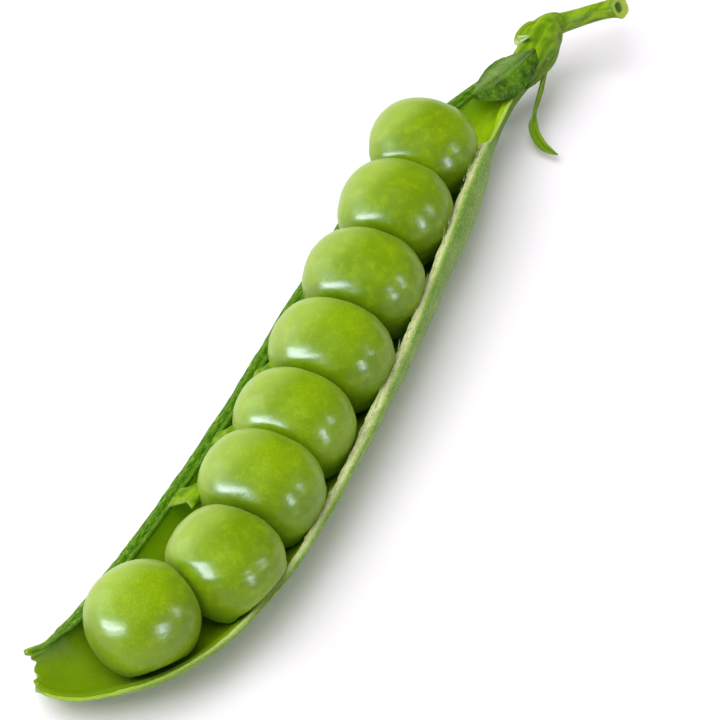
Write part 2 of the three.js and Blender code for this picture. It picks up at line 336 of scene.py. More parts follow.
def pattern(tree, per_mm, detail=3.0, roughness=0.55, stretch=(1, 1, 1)):
    """A seedless pattern with this many features to the millimetre of the object."""
    place = node(tree, "ShaderNodeTexCoord").outputs["Object"]
    scaled = node(tree, "ShaderNodeMapping", {"Vector": place, "Scale": [s / MM for s in stretch]})
    return node(tree, "ShaderNodeTexNoise", {
        "Vector": scaled.outputs[0], "Scale": per_mm, "Detail": detail, "Roughness": roughness,
    }).outputs["Fac"]


def graded(tree, value, low, high, below, above, share=(0.0, 1.0)):
    """From one colour to another as the value goes from low to high. share is the second one's part."""
    part = node(tree, "ShaderNodeMapRange", {
        "Value": value, "From Min": low, "From Max": high, "To Min": share[0], "To Max": share[1],
    }, interpolation_type="SMOOTHSTEP").outputs["Result"]
    return node(tree, "ShaderNodeMix", {0: part, 6: below, 7: above}, data_type="RGBA").outputs[2]


def painted(tree, mask, colour, paint):
    """The paint over the colour, as far as a mask stored on the piece's points says."""
    part = node(tree, "ShaderNodeAttribute", attribute_name=mask).outputs["Fac"]
    return node(tree, "ShaderNodeMix", {0: part, 6: colour, 7: paint}, data_type="RGBA").outputs[2]


def surface(tree, colour, finish, relief, relief_mm, **sockets):
    """The shader. finish is a value, the range that counts, and the roughness at that range's ends."""
    value, low, high, at_low, at_high = finish
    roughness = node(tree, "ShaderNodeMapRange", {
        "Value": value, "From Min": low, "From Max": high, "To Min": at_low, "To Max": at_high,
    }, interpolation_type="SMOOTHSTEP").outputs["Result"]
    height = node(tree, "ShaderNodeBump", {"Height": relief, "Strength": 1.0, "Distance": relief_mm * MM})
    shader = node(tree, "ShaderNodeBsdfPrincipled", {
        "Base Color": colour, "Roughness": roughness, "Normal": height.outputs[0],
    })
    for key, value in sockets.items():
        shader.inputs[key.replace("_", " ").title().replace("Ior", "IOR")].default_value = value
    node(tree, "ShaderNodeOutputMaterial", {"Surface": shader.outputs[0]})
    return shader


# ---- the valve ----

VALVE_STEPS = 460
WALL_STEPS = 46  # across one side of the wall
RIM_STEPS = 14  # across the top of a rim
# The torn tip's teeth: where each is round the wall, how long, and its half width.
TEETH = [(0.02, 0.9, 0.05), (0.2, 0.35, 0.07), (0.45, 0.3, 0.08), (0.72, 0.4, 0.06), (0.93, 0.3, 0.05)]
WHOLE_RIM = 0.32  # the rim's width in mm where it isn't torn
TORN_AT_TIP, TORN_AT_MIDDLE = 0.26, 1.02  # the torn band's width in mm
LONG_TEARS, SHORT_TEARS = (0.24, 2.6), (0.12, 0.8)  # how far they jump, and how often, in mm
SEAM_WIDTH = 1.05
PRESS_LENGTH = 2.6  # half the length, in mm, of the bulge that a pea presses in the wall
BULGE, BEAD, HOLLOW = 0.16, 0.16, 0.1  # mm: outside by a pea, along both rims, and inside by a pea
RIM_FALL = 0.22  # the torn rim slopes inwards by this share of its width
SMALL_TEETH = 0.12
# Uneven growth and strings: how high and how long, in mm.
UNEVEN, TORN_STRINGS, SEAM_STRINGS = (0.05, 6.0), (0.07, 1.6), (0.05, 1.3)


def wall_at(u, half, deep):
    """The wall thins at the torn tip and fills the pod where it narrows into the neck."""
    wall = lerp(lerp(TIP_WALL, WALL, smoothstep(u, 0, 0.2)), NECK_WALL, smoothstep(u, 0.82, 1))
    return np.minimum(wall, np.minimum(half - 0.3, deep - 0.3))


class Valve:
    """The valve's cross-sections at u, and points on them."""

    def __init__(self, u):
        self.u = u = np.atleast_1d(u)
        x, y, self.half, self.wide, self.deep, self.left, self.right = along(SECTIONS, u).T
        way = tangents(SECTIONS[:, :2], u, 0.005)
        self.way = np.c_[way, np.zeros(len(u))]
        level = np.cross(UP, self.way)
        self.side = level * math.cos(ROLL) - UP * math.sin(ROLL)
        self.rise = UP * math.cos(ROLL) + level * math.sin(ROLL)
        self.middle = np.c_[x, y, self.wide]
        self.wall = wall_at(u, self.half, self.deep)

    def point(self, turn, inset, lift=0.0):
        """turn runs from 0 at the straighter seam's rim, round the keel, to 1 at the torn rim."""
        start = -np.arcsin(self.left / self.deep)
        end = math.pi + np.arcsin(self.right / self.deep)
        angle = lerp(start, end, turn)
        across, down = (self.half - inset) * np.cos(angle), (self.deep - inset) * np.sin(angle)
        p = self.middle + self.side * across[:, None] - self.rise * (down - lift)[:, None]
        floor = np.maximum(inset * FLOOR_SLOPE, 0.0) + FLOOR_GAP
        p[:, 2] = np.maximum(p[:, 2], floor)
        return p


def valve_u_at(x):
    """u of the section whose spine is at x."""
    u = np.linspace(0, 1, 2000)
    return float(np.interp(x, along(SECTIONS, u)[:, 0], u))


TORN_FROM = valve_u_at(22.2)  # where the tear begins, near the stem end


def rim_widths(v, run, torn):
    """How wide the torn rim and the seam are at each ring, in mm."""
    torn_wide = lerp(TORN_AT_TIP, TORN_AT_MIDDLE, smoothstep(v.u, 0.18, 0.52))
    jag = sum(far * (steps(run, seed, pitch) - 0.5)
              for seed, (far, pitch) in ((5, LONG_TEARS), (9, SHORT_TEARS)))
    jagged = lerp(0.25, 1.0, smoothstep(v.u, 0.25, 0.5))
    rim = lerp(WHOLE_RIM, torn_wide + jag * jagged, torn)
    rim = np.maximum(0.2, np.minimum(rim, v.half * 0.45)) * smoothstep(v.u, -0.03, 0.05)
    seam = np.minimum(SEAM_WIDTH, v.half * 0.4) * lerp(0.35, 1.0, smoothstep(v.u, 0.0, 0.16))
    return rim, seam


def tip_teeth(turn):
    """How far each point of the tip's ring reaches past its section, in mm."""
    teeth = np.zeros(len(turn))
    for at, long, wide in TEETH:
        teeth += long * np.exp(-(((np.minimum(turn, 1) - at) / wide) ** 2))
    return teeth + SMALL_TEETH * waves(np.linspace(0, 1, len(turn)) * 60, 3, 6.0)


def valve_points():
    """Rings round the valve's wall: outside, torn rim, inside, seam. Also the masks that paint them."""
    u = np.linspace(0, 1, VALVE_STEPS)
    v = Valve(u)
    run = np.r_[0, np.cumsum(np.linalg.norm(np.diff(v.middle, axis=0), axis=1))]
    torn = 1 - smoothstep(u, TORN_FROM - 0.004, TORN_FROM + 0.001)
    rim, seam_wide = rim_widths(v, run, torn)
    press = np.zeros_like(u)
    for x, *_ in PEAS:
        press += np.exp(-(((v.middle[:, 0] - x) / PRESS_LENGTH) ** 2))
    rings, masks = [], {"inside": [], "torn": [], "seam": [], "across": []}

    def add(points, inside, torn_mask, seam_mask, across):
        rings.append(points)
        for key, value in zip(masks, (inside, torn_mask, seam_mask, across)):
            masks[key].append(value * np.ones(len(u)))

    for i in range(WALL_STEPS + 1):  # the outside, from the seam round the keel to the torn rim
        t = i / WALL_STEPS
        side_on = math.sin(math.pi * t) * abs(math.cos(math.pi * t))
        bulge = BULGE * press * side_on + UNEVEN[0] * waves(run + 9 * t, 21, UNEVEN[1])
        bead = BEAD * (np.exp(-((t / 0.035) ** 2)) + 0.5 * np.exp(-(((t - 1) / 0.02) ** 2)))
        outset = bulge * (1 - smoothstep(u, 0.8, 1.0)) + bead
        add(v.point(t, -outset), 0, 0, math.exp(-(t / 0.03) ** 2), t)
    for i in range(1, RIM_STEPS):  # across the torn rim, from its outer edge to its jagged inner edge
        s = i / RIM_STEPS
        fibre = TORN_STRINGS[0] * waves(run + 40 * s, 33 + i, TORN_STRINGS[1]) * torn
        dip = -RIM_FALL * s * s * rim + 0.1 * math.sin(math.pi * s) * torn
        add(v.point(1.0, s * rim, dip + fibre), 0, 1, 0, 1 + s)
    for i in range(WALL_STEPS + 1):  # the inside, back to the seam
        t = 1 - i / WALL_STEPS
        near_rim = math.exp(-((1 - t) / 0.05) ** 2)
        near_seam = math.exp(-(t / 0.05) ** 2)
        inset = v.wall + (rim - v.wall) * near_rim + (seam_wide - v.wall) * near_seam
        cup = -HOLLOW * press * math.sin(math.pi * t)
        lift = -RIM_FALL * rim * near_rim - 0.1 * near_seam
        add(v.point(t, inset + cup, lift), 1, 0, math.exp(-(t / 0.02) ** 2), t)
    for i in range(1, RIM_STEPS):  # across the seam: a fibrous inner ridge, a groove, an outer ridge
        s = 1 - i / RIM_STEPS
        ridges = 0.3 * abs(math.sin(1.6 * math.pi * s + 0.2)) - 0.08
        fibre = SEAM_STRINGS[0] * waves(run + 13 * s, 70 + i, SEAM_STRINGS[1])
        add(v.point(0.0, s * seam_wide, (ridges + fibre) * smoothstep(u, 0.0, 0.16)), 0.3, 0, 1, -s)
    points = np.stack(rings, axis=1)
    teeth = tip_teeth(np.abs(np.array([mask[0] for mask in masks["across"]])))
    near_tip = smoothstep(-u, -0.03, 0.0)
    points -= v.way[:, None] * (teeth[None, :, None] * near_tip[:, None, None])
    data = {key: np.stack(values, axis=1) for key, values in masks.items()}
    by_ring = {
        "run": run,
        "neck": smoothstep(u, TORN_FROM - 0.03, TORN_FROM + 0.06),
        "torn_pale": smoothstep(u, 0.1, 0.45) * lerp(0.3, 1.0, torn),
    }
    for key, values in by_ring.items():
        data[key] = np.repeat(values[:, None], points.shape[1], axis=1)
    # Where the lining by the straighter seam is painted lighter: painted light in its shade.
    data["by_seam"] = smoothstep(data["run"], 8.0, 16.0) * (1 - smoothstep(data["across"], 0.06, 0.36))
    return points, data


def wall_cap(around):
    """Closes a C-shaped end: the outside half of the ring against the inside half."""
    outer = list(range(0, WALL_STEPS + 1))
    torn = list(range(WALL_STEPS + 1, WALL_STEPS + RIM_STEPS))
    inner = list(range(WALL_STEPS + RIM_STEPS, 2 * WALL_STEPS + RIM_STEPS + 1))
    seam = list(range(2 * WALL_STEPS + RIM_STEPS + 1, around))
    faces = [(outer[i], outer[i + 1], inner[-2 - i], inner[-1 - i]) for i in range(WALL_STEPS)]
    return faces + [tuple([outer[-1], *torn, inner[0]]), tuple([inner[-1], *seam, outer[0]])]


def pod_wall_material(colours):
    """Pea pod wall, grown. Outside a waxy cuticle: a pale bloom, blotchy at a few mm, and satin.
    Inside moist, smooth parenchyma. The tear shows pale stringy fibres, the seam dark woody ones."""
    material, tree = new_material("pod_wall_waxed_cuticle_and_moist_lining")
    inside, torn, seam, across, run = (
        node(tree, "ShaderNodeAttribute", attribute_name=mask).outputs["Fac"]
        for mask in ("inside", "torn", "seam", "across", "run"))
    # Strings about 0.7 mm long and a tenth as wide, drawn coarser than the real ones so that they show.
    strips = node(tree, "ShaderNodeCombineXYZ", {"X": run, "Y": across})
    strips = node(tree, "ShaderNodeMapping", {"Vector": strips.outputs[0], "Scale": (0.9, 14.0, 1.0)})
    fibres = node(tree, "ShaderNodeTexNoise", {
        "Vector": strips.outputs[0], "Scale": 1.6, "Detail": 4.0, "Roughness": 0.65,
    }).outputs["Fac"]
    blotch = pattern(tree, 0.45, 4.0, 0.6)  # the bloom's patches, about 2 mm
    speck = pattern(tree, 4.5, 3.0, 0.6)  # grains of wax, drawn at 0.2 mm so that they show
    outside = graded(tree, blotch, 0.3, 0.7, colours["bloom"], colours["skin"], (0.55, 1.0))
    outside = graded(tree, speck, 0.5, 0.66, outside, colours["bloom"], (0.0, 0.7))
    outside = painted(tree, "neck", outside, colours["stalk_dark"])
    lining = graded(tree, blotch, 0.3, 0.7, colours["lining_dark"], colours["lining"])
    # Painted light: the lining is painted lighter by the straighter seam, just below the torn rim and
    # inside the neck, where it lies in shade.
    lining = painted(tree, "by_seam", lining, colours["lining_light"])
    lining = graded(tree, across, 0.62, 0.9, lining, colours["lining_light"], (0.0, 0.35))
    lining = graded(tree, run, 5.0, 16.0, lining, colours["lining_dark"], (0.85, 0.0))
    lining = graded(tree, run, 60.0, 68.0, lining, colours["lining_light"], (0.0, 0.5))
    flesh = graded(tree, fibres, 0.3, 0.68, colours["torn_shade"], colours["torn"])
    flesh = graded(tree, across, 1.0, 1.45, outside, flesh)
    flesh = painted(tree, "torn_pale", colours["seam_light"], flesh)
    woody = graded(tree, fibres, 0.45, 0.7, colours["seam"], colours["seam_light"])
    colour = graded(tree, inside, 0.3, 0.7, outside, lining)
    colour = graded(tree, seam, 0.25, 0.75, colour, woody)
    colour = graded(tree, torn, 0.3, 0.7, colour, flesh)
    relief = node(tree, "ShaderNodeMath", {0: fibres, 1: speck}, operation="ADD").outputs[0]
    surface(tree, colour, (torn, 0.3, 0.7, 0.51, 0.91), relief, 0.05, ior=1.42, specular_ior_level=0.2,
            subsurface_weight=0.2, subsurface_scale=0.002, subsurface_radius=(0.8, 1.0, 0.2))
    return material


def torn_fibre_material(colours):
    """Torn plant fibre: dry strings of cellulose, pale and matt."""
    material, tree = new_material("torn_fibre_dry_cellulose")
    strand = pattern(tree, 2.5, 2.0)  # shades every 0.4 mm along a string
    colour = graded(tree, strand, 0.35, 0.65, colours["torn_shade"], colours["torn"])
    surface(tree, colour, (strand, 0.3, 0.7, 0.6, 0.75), strand, 0.01, ior=1.4)
    return material


# ---- the peas ----

PEA_AROUND, PEA_TALL = 112, 72
PEA_SQUARE = 2.24  # 2 is a plain ellipsoid; squeezed peas are a little squarer
PEA_SHOULDER = 0.45  # mm over which a pea's flattened end rounds off
PEA_SETTLE = 0.45  # mm by which a pea lies lower than its collision solid
PEA_CLEARANCE, PEA_TOUCH = 0.08, 0.02  # mm between a pea and the lining, and half that between peas
FLARE = 0.7  # how fast the wall opens out above the rim
SPINE_SLOPE = 0.14  # how far the spine runs sideways for each mm along, roughly
# Each pea's skin is painted paler on this side, where the light falls: a painted sheen.
LIT_SIDE = np.array([0.08, 0.9, 0.43])  # a pea is fed from this side, and its skin is paler there


def eased(limit, distance):
    """A distance that may not pass a limit, eased into it from one shoulder short of it."""
    start = limit - PEA_SHOULDER
    past = np.maximum(distance - start, 0)
    soft = limit - PEA_SHOULDER * np.exp(-past / PEA_SHOULDER)
    return np.where(distance <= start, distance, soft)


def inside_valve(points, clearance):
    """Moves the points that are in the wall to just inside it."""
    fine = Valve(np.linspace(0, 1, 900))
    nearest = np.abs(points[:, None, 0] - fine.middle[None, :, 0]
                     + (points[:, None, 1] - fine.middle[None, :, 1]) * SPINE_SLOPE).argmin(1)
    v = Valve(fine.u[nearest])
    offset = points - v.middle
    a, b = (offset * v.side).sum(1), (offset * v.rise).sum(1)
    above = np.maximum(0, b - np.where(a > 0, v.left, v.right))
    across = v.half - v.wall - clearance + FLARE * above
    down = v.deep - v.wall - clearance
    reach = np.maximum(1, np.hypot(a / across, np.minimum(b, 0) / down))
    moved = points + v.side * (a / reach - a)[:, None]
    return moved + v.rise * np.where(b < 0, b / reach - b, 0)[:, None]


def pea_points(number):
    """The pea's surface, with its poles at the ends of its length, where its neighbours press on it."""
    x, y, z, long, across, high, yaw = PEAS[number]
    centre = np.array([x, y, z - PEA_SETTLE])
    tilt = (math.pi * np.arange(1, PEA_TALL) / PEA_TALL)[:, None]
    turn = 2 * math.pi * np.arange(PEA_AROUND) / PEA_AROUND
    sides = np.sin(tilt) * np.cos(turn), np.sin(tilt) * np.sin(turn), np.cos(tilt)
    rings = np.stack(np.broadcast_arrays(*sides), axis=2)
    ball = np.concatenate([[UP], rings.reshape(-1, 3), [-UP]])
    ball /= ((np.abs(ball) ** PEA_SQUARE).sum(1) ** (1 / PEA_SQUARE))[:, None]
    lumps = 1 + 0.006 * waves(ball @ [1.0, 2.0, 3.0] * 5, 100 + number, 7.0, 2)
    body = ball * [long, across, high] * lumps[:, None]
    turn = math.radians(yaw)
    spin = np.array([[math.cos(turn), -math.sin(turn), 0], [math.sin(turn), math.cos(turn), 0], UP])
    body = body @ spin.T
    for other in (number - 1, number + 1):
        if 0 <= other < len(PEAS):
            way = np.array(PEAS[other][:3]) - [x, y, z]
            limit = np.linalg.norm(way) / 2 - PEA_TOUCH
            way = unit(way)
            reach = body @ way
            body = body + way * (eased(limit, reach) - reach)[:, None]
    # How far each point faces the lit side: the share of the painted sheen.
    lit_share = smoothstep(unit(body) @ LIT_SIDE, 0.3, 1.0)
    return inside_valve(body + centre, PEA_CLEARANCE), lit_share


def pea_faces():
    """Triangles at the poles and quads between the rings."""
    faces = [(0, 1 + i, 1 + (i + 1) % PEA_AROUND) for i in range(PEA_AROUND)]
    for k in range(PEA_TALL - 2):
        first = 1 + k * PEA_AROUND
        for i in range(PEA_AROUND):
            j = (i + 1) % PEA_AROUND
            faces.append((first + i, first + PEA_AROUND + i, first + PEA_AROUND + j, first + j))
    last = 1 + (PEA_TALL - 1) * PEA_AROUND
    ring = last - PEA_AROUND
    return faces + [(ring + (i + 1) % PEA_AROUND, ring + i, last) for i in range(PEA_AROUND)]


def pea_skin_material(colours):
    """Fresh garden pea seed coat, grown: taut and wet-looking, with a faint bloom and mottling."""
    material, tree = new_material("pea_seed_coat_taut_gloss")
    cloud = pattern(tree, 0.16, 2.0, 0.5)  # one pea in shade differs from the next, 6 mm
    mottle = pattern(tree, 1.1, 4.0, 0.6)  # the seed leaves showing through the coat, 1 mm
    grain = pattern(tree, 5.0, 2.0, 0.5)  # the coat's cells, drawn at 0.2 mm so that they show
    fed = node(tree, "ShaderNodeAttribute", attribute_name="fed").outputs["Fac"]
    colour = graded(tree, cloud, 0.35, 0.65, colours["pea_deep"], colours["pea"])
    colour = graded(tree, mottle, 0.42, 0.72, colour, colours["pea_pale"], (0.0, 0.45))
    colour = graded(tree, grain, 0.4, 0.62, colour, colours["pea_deep"], (0.0, 0.45))
    # Painted sheen: the side of each pea where the light falls is painted paler.
    colour = graded(tree, fed, 0.0, 1.0, colour, colours["pea_fed"], (0.0, 0.42))
    shader = surface(tree, colour, (mottle, 0.35, 0.7, 0.38, 0.48), grain, 0.013,
                     ior=1.38, specular_ior_level=0.1,
                     coat_weight=0.4, coat_roughness=0.245,
                     sheen_weight=0.1, sheen_roughness=0.5, sheen_tint=(0.75, 1.0, 0.4, 1),
                     subsurface_weight=0.12, subsurface_scale=0.0016, subsurface_radius=(0.8, 1.0, 0.1))
    tree.links.new(shader.inputs["Normal"].links[0].from_socket, shader.inputs["Coat Normal"])
    return material


# ---- the funicles ----


def funicle_rings(number):
    """A web from the seam, through a narrow waist, to a lobed foot on the pea."""
    x, y, z, long, across, high, yaw = PEAS[number]
    seam_at = Valve(valve_u_at(x - 0.9 * long))
    seam = seam_at.point(0.0, 0.9, 0.05)[0]
    centre = np.array([x, y, z])
    way = unit(seam - centre)
    reach = 1 / np.linalg.norm(way / [long, across, high])
    foot = centre + way * (reach - 0.25) + UP * 0.35
    grow = 1.5 if number == FUNICLES - 1 else 1.1
    count, sides = 18, 20
    u = np.linspace(0, 1, count)
    middle = foot + (seam - foot) * u[:, None] + UP * (0.3 * np.sin(math.pi * u))[:, None]
    half = grow * (0.75 * (1 - u) ** 1.5 + 0.5 + 0.25 * u ** 3)
    thick = 0.26 + 0.2 * (1 - u) ** 3 + 0.14 * u ** 4
    angle = 2 * math.pi * np.arange(sides) / sides
    lobes = 1 + 0.1 * np.sin(3 * angle[None] + 7 * u[:, None] + number)
    wide = seam_at.way[0]
    lift = unit(np.cross(unit(seam - foot), wide))
    lift = lift if lift[2] > 0 else -lift
    return (middle[:, None] + wide * (half[:, None] * np.cos(angle) * lobes)[..., None]
            + lift * (thick[:, None] * np.sin(angle) * lobes)[..., None])


def capped(rings):
    """The rings as one closed skin with a point at each end, turned so that it faces out."""
    count, around = rings.shape[:2]
    points = np.concatenate([rings.reshape(-1, 3), [rings[0].mean(0)], [rings[-1].mean(0)]])
    faces = loft_faces(count, around)
    first, last = count * around, count * around + 1
    top = (count - 1) * around
    faces += [(first, (i + 1) % around, i) for i in range(around)]
    faces += [(last, top + i, top + (i + 1) % around) for i in range(around)]
    a, b, c = (points[[face[k] for face in faces]] for k in range(3))
    middle = points.mean(0)
    volume = (np.cross(a - middle, b - middle) * (c - middle)).sum()
    return points, faces if volume > 0 else [face[::-1] for face in faces]


def stalk_material(name, colours, streaks, roughness, paleness=0.22):
    """Young pea stalk, grown: a thin satin epidermis with pale streaks that run lengthwise."""
    material, tree = new_material(name)
    streak = pattern(tree, 1.3, 4.0, 0.6, streaks)  # strands under the skin, 0.8 mm
    cloud = pattern(tree, 0.5, 2.0)  # paler patches, 2 mm
    colour = graded(tree, streak, 0.36, 0.68, colours["stalk_dark"], colours["stalk"])
    colour = graded(tree, cloud, 0.45, 0.75, colour, colours["stalk_pale"], (0.0, paleness))
    # Painted shade: darker in the calyx's hollows and in the stem's cut hollow.
    colour = painted(tree, "crease", colour, colours["leaf"])
    colour = painted(tree, "cut", colour, colours["stalk_pale"])
    surface(tree, colour, (streak, 0.3, 0.7, roughness, roughness + 0.14), streak, 0.05,
            ior=1.42, specular_ior_level=0.15,
            subsurface_weight=0.15, subsurface_scale=0.001, subsurface_radius=(0.8, 1.0, 0.2))
    return material


# ---- the calyx and the stem ----

SLEEVE_RINGS, SLEEVE_SIDES = 120, 96
STEM_RINGS, STEM_SIDES = 110, 60
SEPAL_RINGS, SEPAL_ACROSS = 64, 24
SEPAL_THICK = 0.26  # mm
PALENESS = 0.26  # how far a sepal's pale parts go to its pale colour
BROAD_SEPAL, TWISTED_SEPAL, ROLLED_SEPAL = "sepal_over_neck", "sepal_hanging", "sepal_curled"
# The cut face from its rim inwards: share of the radius, and how far it has sunk back.
CUT_PROFILE = [
    (0.93, -0.06), (0.84, -0.02), (0.74, 0.06), (0.64, -0.02), (0.54, 0.04), (0.44, 0.3), (0.25, 0.5),
]
PALE_CUT_RINGS = 5  # the rest are the hollow
CUT_SLANT = np.array([-0.45, -0.3, 0.65])  # the knife went through sloping this way


def cup_relief(u, angle):
    """Five ribs, where the sepals begin, over a lumpy skin that is smooth at both ends, in mm."""
    middle = np.sin(math.pi * np.clip(u, 0, 1)) ** 0.7
    ribs = 0.2 * np.abs(np.cos(2.5 * angle + 1.4 * u)) - 0.1
    lumps = 0.11 * np.sin(3 * angle + 7 * u) * np.sin(6 * u + 0.6) + 0.05 * np.sin(7 * angle - 9 * u)
    knots = 0.2 * np.exp(-(((u - 0.78) / 0.06) ** 2)) * (0.5 + 0.5 * np.sin(5 * angle + 1.0))
    return middle * (ribs + lumps) + knots


def sepal_rings(name):
    """A thin leaf, folded a little along its midrib, with side veins and a wavy edge."""
    wide, peak, midrib = SEPALS[name]
    ribs = np.array([at for at, _ in midrib], float)
    ways = np.array([face for _, face in midrib], float)
    u = np.linspace(0, 1, SEPAL_RINGS)
    way = tangents(ribs, u)
    side = unit(np.cross(along(ways, u), way))
    face = np.cross(way, side)
    root = 0.15 if name == BROAD_SEPAL else 0.4
    swell = np.where(u < peak, lerp(root, 1, u / peak), (1 - u) / (1 - peak))
    half = np.maximum(0.05, wide * np.sin(math.pi / 2 * swell))
    half = half * (1 + 0.025 * waves(u * 10, 41, 4.0, 1))
    if name == TWISTED_SEPAL:  # it is turned over here, so it shows its edge
        half = half * (1 - 0.65 * np.exp(-(((u - 0.36) / 0.1) ** 2)))
    s = np.linspace(-1, 1, SEPAL_ACROSS)
    middle = along(ribs, u)
    fold = (-0.24 if name == BROAD_SEPAL else 0.16) * wide * np.abs(s) ** 1.6
    vein = 0.016 * wide * np.cos((u[:, None] * 9 - np.abs(s)[None, :] * 1.2) * 2 * math.pi)
    groove = -0.14 * np.exp(-((s / 0.1) ** 2))
    rings = []
    for sign in (1, -1):
        thick = SEPAL_THICK / 2 * (1 - np.abs(s) ** 6) * sign
        height = fold + groove + thick
        layer = (middle[:, None] + side[:, None] * (half[:, None] * s)[..., None]
                 + face[:, None] * (height[None, :] + vein * (np.abs(s) > 0.06))[..., None])
        rings.append(layer if sign > 0 else layer[:, ::-1])
    # The broad sepal's one half is painted paler, a painted highlight where light falls on it; the other
    # sepals are paler at their edges.
    pale = np.exp(-(((s + 0.5) / 0.3) ** 2)) if name == BROAD_SEPAL else 0.5 * np.abs(s) ** 4
    pale = np.maximum(pale, 0.8 * np.exp(-((s / 0.07) ** 2)))
    pale = np.tile(np.r_[pale, pale[::-1]], SEPAL_RINGS)
    if name == ROLLED_SEPAL:  # the rolled-back end shows its whitish underside
        pale = np.repeat(3.6 * smoothstep(u, 0.5, 0.7), 2 * SEPAL_ACROSS)
    return np.concatenate(rings, axis=1), PALENESS * np.r_[pale, pale[:1], pale[-1:]]


def stem_relief(u, angle):
    """Soft ribs along the stem, and a ragged swelling at its cut end."""
    ribs = 0.06 * np.cos(6 * angle + 1.5 * u) + 0.03 * np.cos(11 * angle - 3 * u)
    ribs = ribs * (1 - 0.6 * smoothstep(u, 0.8, 1))
    return ribs + 0.06 * smoothstep(u, 0.9, 1.0) * (1 + 0.5 * np.sin(4 * angle))


def stem_rings():
    """The stem's skin, then its cut face with a ringed rim and a hollow, drawn back into the stem."""
    path = np.vstack([STEM_ROOT, STEM])
    skin = stalk_rings(path, STEM_RINGS, STEM_SIDES, stem_relief)
    way = tangents(path[:, :3], 1.0)[0]
    near_end = smoothstep(np.linspace(0, 1, len(skin)), 0.3, 1.0)
    upward = (skin - skin.mean(1, keepdims=True)) @ CUT_SLANT
    skin = skin - way * (near_end[:, None] * (upward + STEM[-1, 3] * 0.8))[..., None]
    middle = skin[-1].mean(0)
    cut = [middle + (skin[-1] - middle) * share - way * back for share, back in CUT_PROFILE]
    return np.concatenate([skin, np.array(cut)])


def leaf_material(colours):
    """Pea sepal, grown leaf: a satin green blade, fine-veined, with a paler midrib and edges. One half of
    the broad sepal is painted paler: a painted highlight.
    """
    material, tree = new_material("sepal_leaf_satin_blade")
    blotch = pattern(tree, 0.7, 4.0, 0.6)  # darker patches, 1.4 mm
    cells = pattern(tree, 4.0, 3.0)  # the network of small veins, 0.25 mm
    colour = graded(tree, blotch, 0.35, 0.65, colours["leaf_dark"], colours["leaf"])
    colour = graded(tree, cells, 0.5, 0.72, colour, colours["leaf_pale"], (0.0, 0.2))
    colour = painted(tree, "young", colour, colours["stalk"])
    # Paler midrib and edges, and over one half of the broad sepal a painted highlight.
    colour = painted(tree, "pale", colour, colours["leaf_pale"])
    surface(tree, colour, (cells, 0.3, 0.7, 0.48, 0.62), cells, 0.03,
            ior=1.42, specular_ior_level=0.15,
            subsurface_weight=0.08, subsurface_scale=0.0006, subsurface_radius=(0.8, 1.0, 0.2))
    return material


# ---- Geometry Nodes: what follows a path ----


FIBRE_INPUTS = {  # each input's kind and default, lengths in metres
    "Count": ("NodeSocketInt", 100),
    "Length": ("NodeSocketFloat", 0.001),
    "Thickness": ("NodeSocketFloat", 0.00004),
    "Stray": ("NodeSocketFloat", 0.3),
    "Spread": ("NodeSocketFloat", 0.0003),
    "Seed": ("NodeSocketInt", 1),
}


def fibre_tree(material):
    """Fine torn fibres along a guide curve: short tapered slivers, realised, with their finish."""
    tree = bpy.data.node_groups.new("torn_fibres", "GeometryNodeTree")
    tree.interface.new_socket("Guide", in_out="INPUT", socket_type="NodeSocketGeometry")
    for key, (kind, default) in FIBRE_INPUTS.items():
        tree.interface.new_socket(key, in_out="INPUT", socket_type=kind).default_value = default
    tree.interface.new_socket("Geometry", in_out="OUTPUT", socket_type="NodeSocketGeometry")
    given = node(tree, "NodeGroupInput").outputs
    guide = node(tree, "GeometryNodeResampleCurve", {"Curve": given["Guide"], "Count": given["Count"]})
    points = node(tree, "GeometryNodeCurveToPoints", {"Curve": guide.outputs[0]}, mode="EVALUATED")
    shift = node(tree, "FunctionNodeRandomValue", {
        "Seed": given["Seed"], 0: (-1, -1, -0.3), 1: (1, 1, 0.6),
    }, data_type="FLOAT_VECTOR")
    spread = node(tree, "ShaderNodeVectorMath", {0: shift.outputs[0], "Scale": given["Spread"]},
                  operation="SCALE")
    moved = node(tree, "GeometryNodeSetPosition", {
        "Geometry": points.outputs["Points"], "Offset": spread.outputs[0],
    })
    sliver = node(tree, "GeometryNodeMeshCone", {
        "Vertices": 5, "Side Segments": 3, "Radius Top": 0.0,
        "Radius Bottom": given["Thickness"], "Depth": given["Length"],
    })
    tilt = node(tree, "FunctionNodeRandomValue", {
        "Seed": given["Seed"], 0: (-1, -1, -1), 1: (1, 1, 1),
    }, data_type="FLOAT_VECTOR")
    lean = node(tree, "ShaderNodeVectorMath", {0: tilt.outputs[0], "Scale": given["Stray"]},
                operation="SCALE")
    way = node(tree, "ShaderNodeVectorMath", {0: points.outputs["Tangent"], 1: lean.outputs[0]})
    turn = node(tree, "FunctionNodeAlignRotationToVector", {"Vector": way.outputs[0]}, axis="Z")
    size = node(tree, "FunctionNodeRandomValue", {"Seed": given["Seed"], 2: 0.4, 3: 1.3},
                data_type="FLOAT")
    placed = node(tree, "GeometryNodeInstanceOnPoints", {
        "Points": moved.outputs[0], "Instance": sliver.outputs["Mesh"],
        "Rotation": turn.outputs[0], "Scale": size.outputs[1],
    })
    real = node(tree, "GeometryNodeRealizeInstances", {"Geometry": placed.outputs[0]})
    finish = node(tree, "GeometryNodeSetMaterial", {"Geometry": real.outputs[0], "Material": material})
    node(tree, "NodeGroupOutput", {"Geometry": finish.outputs[0]})
    return tree


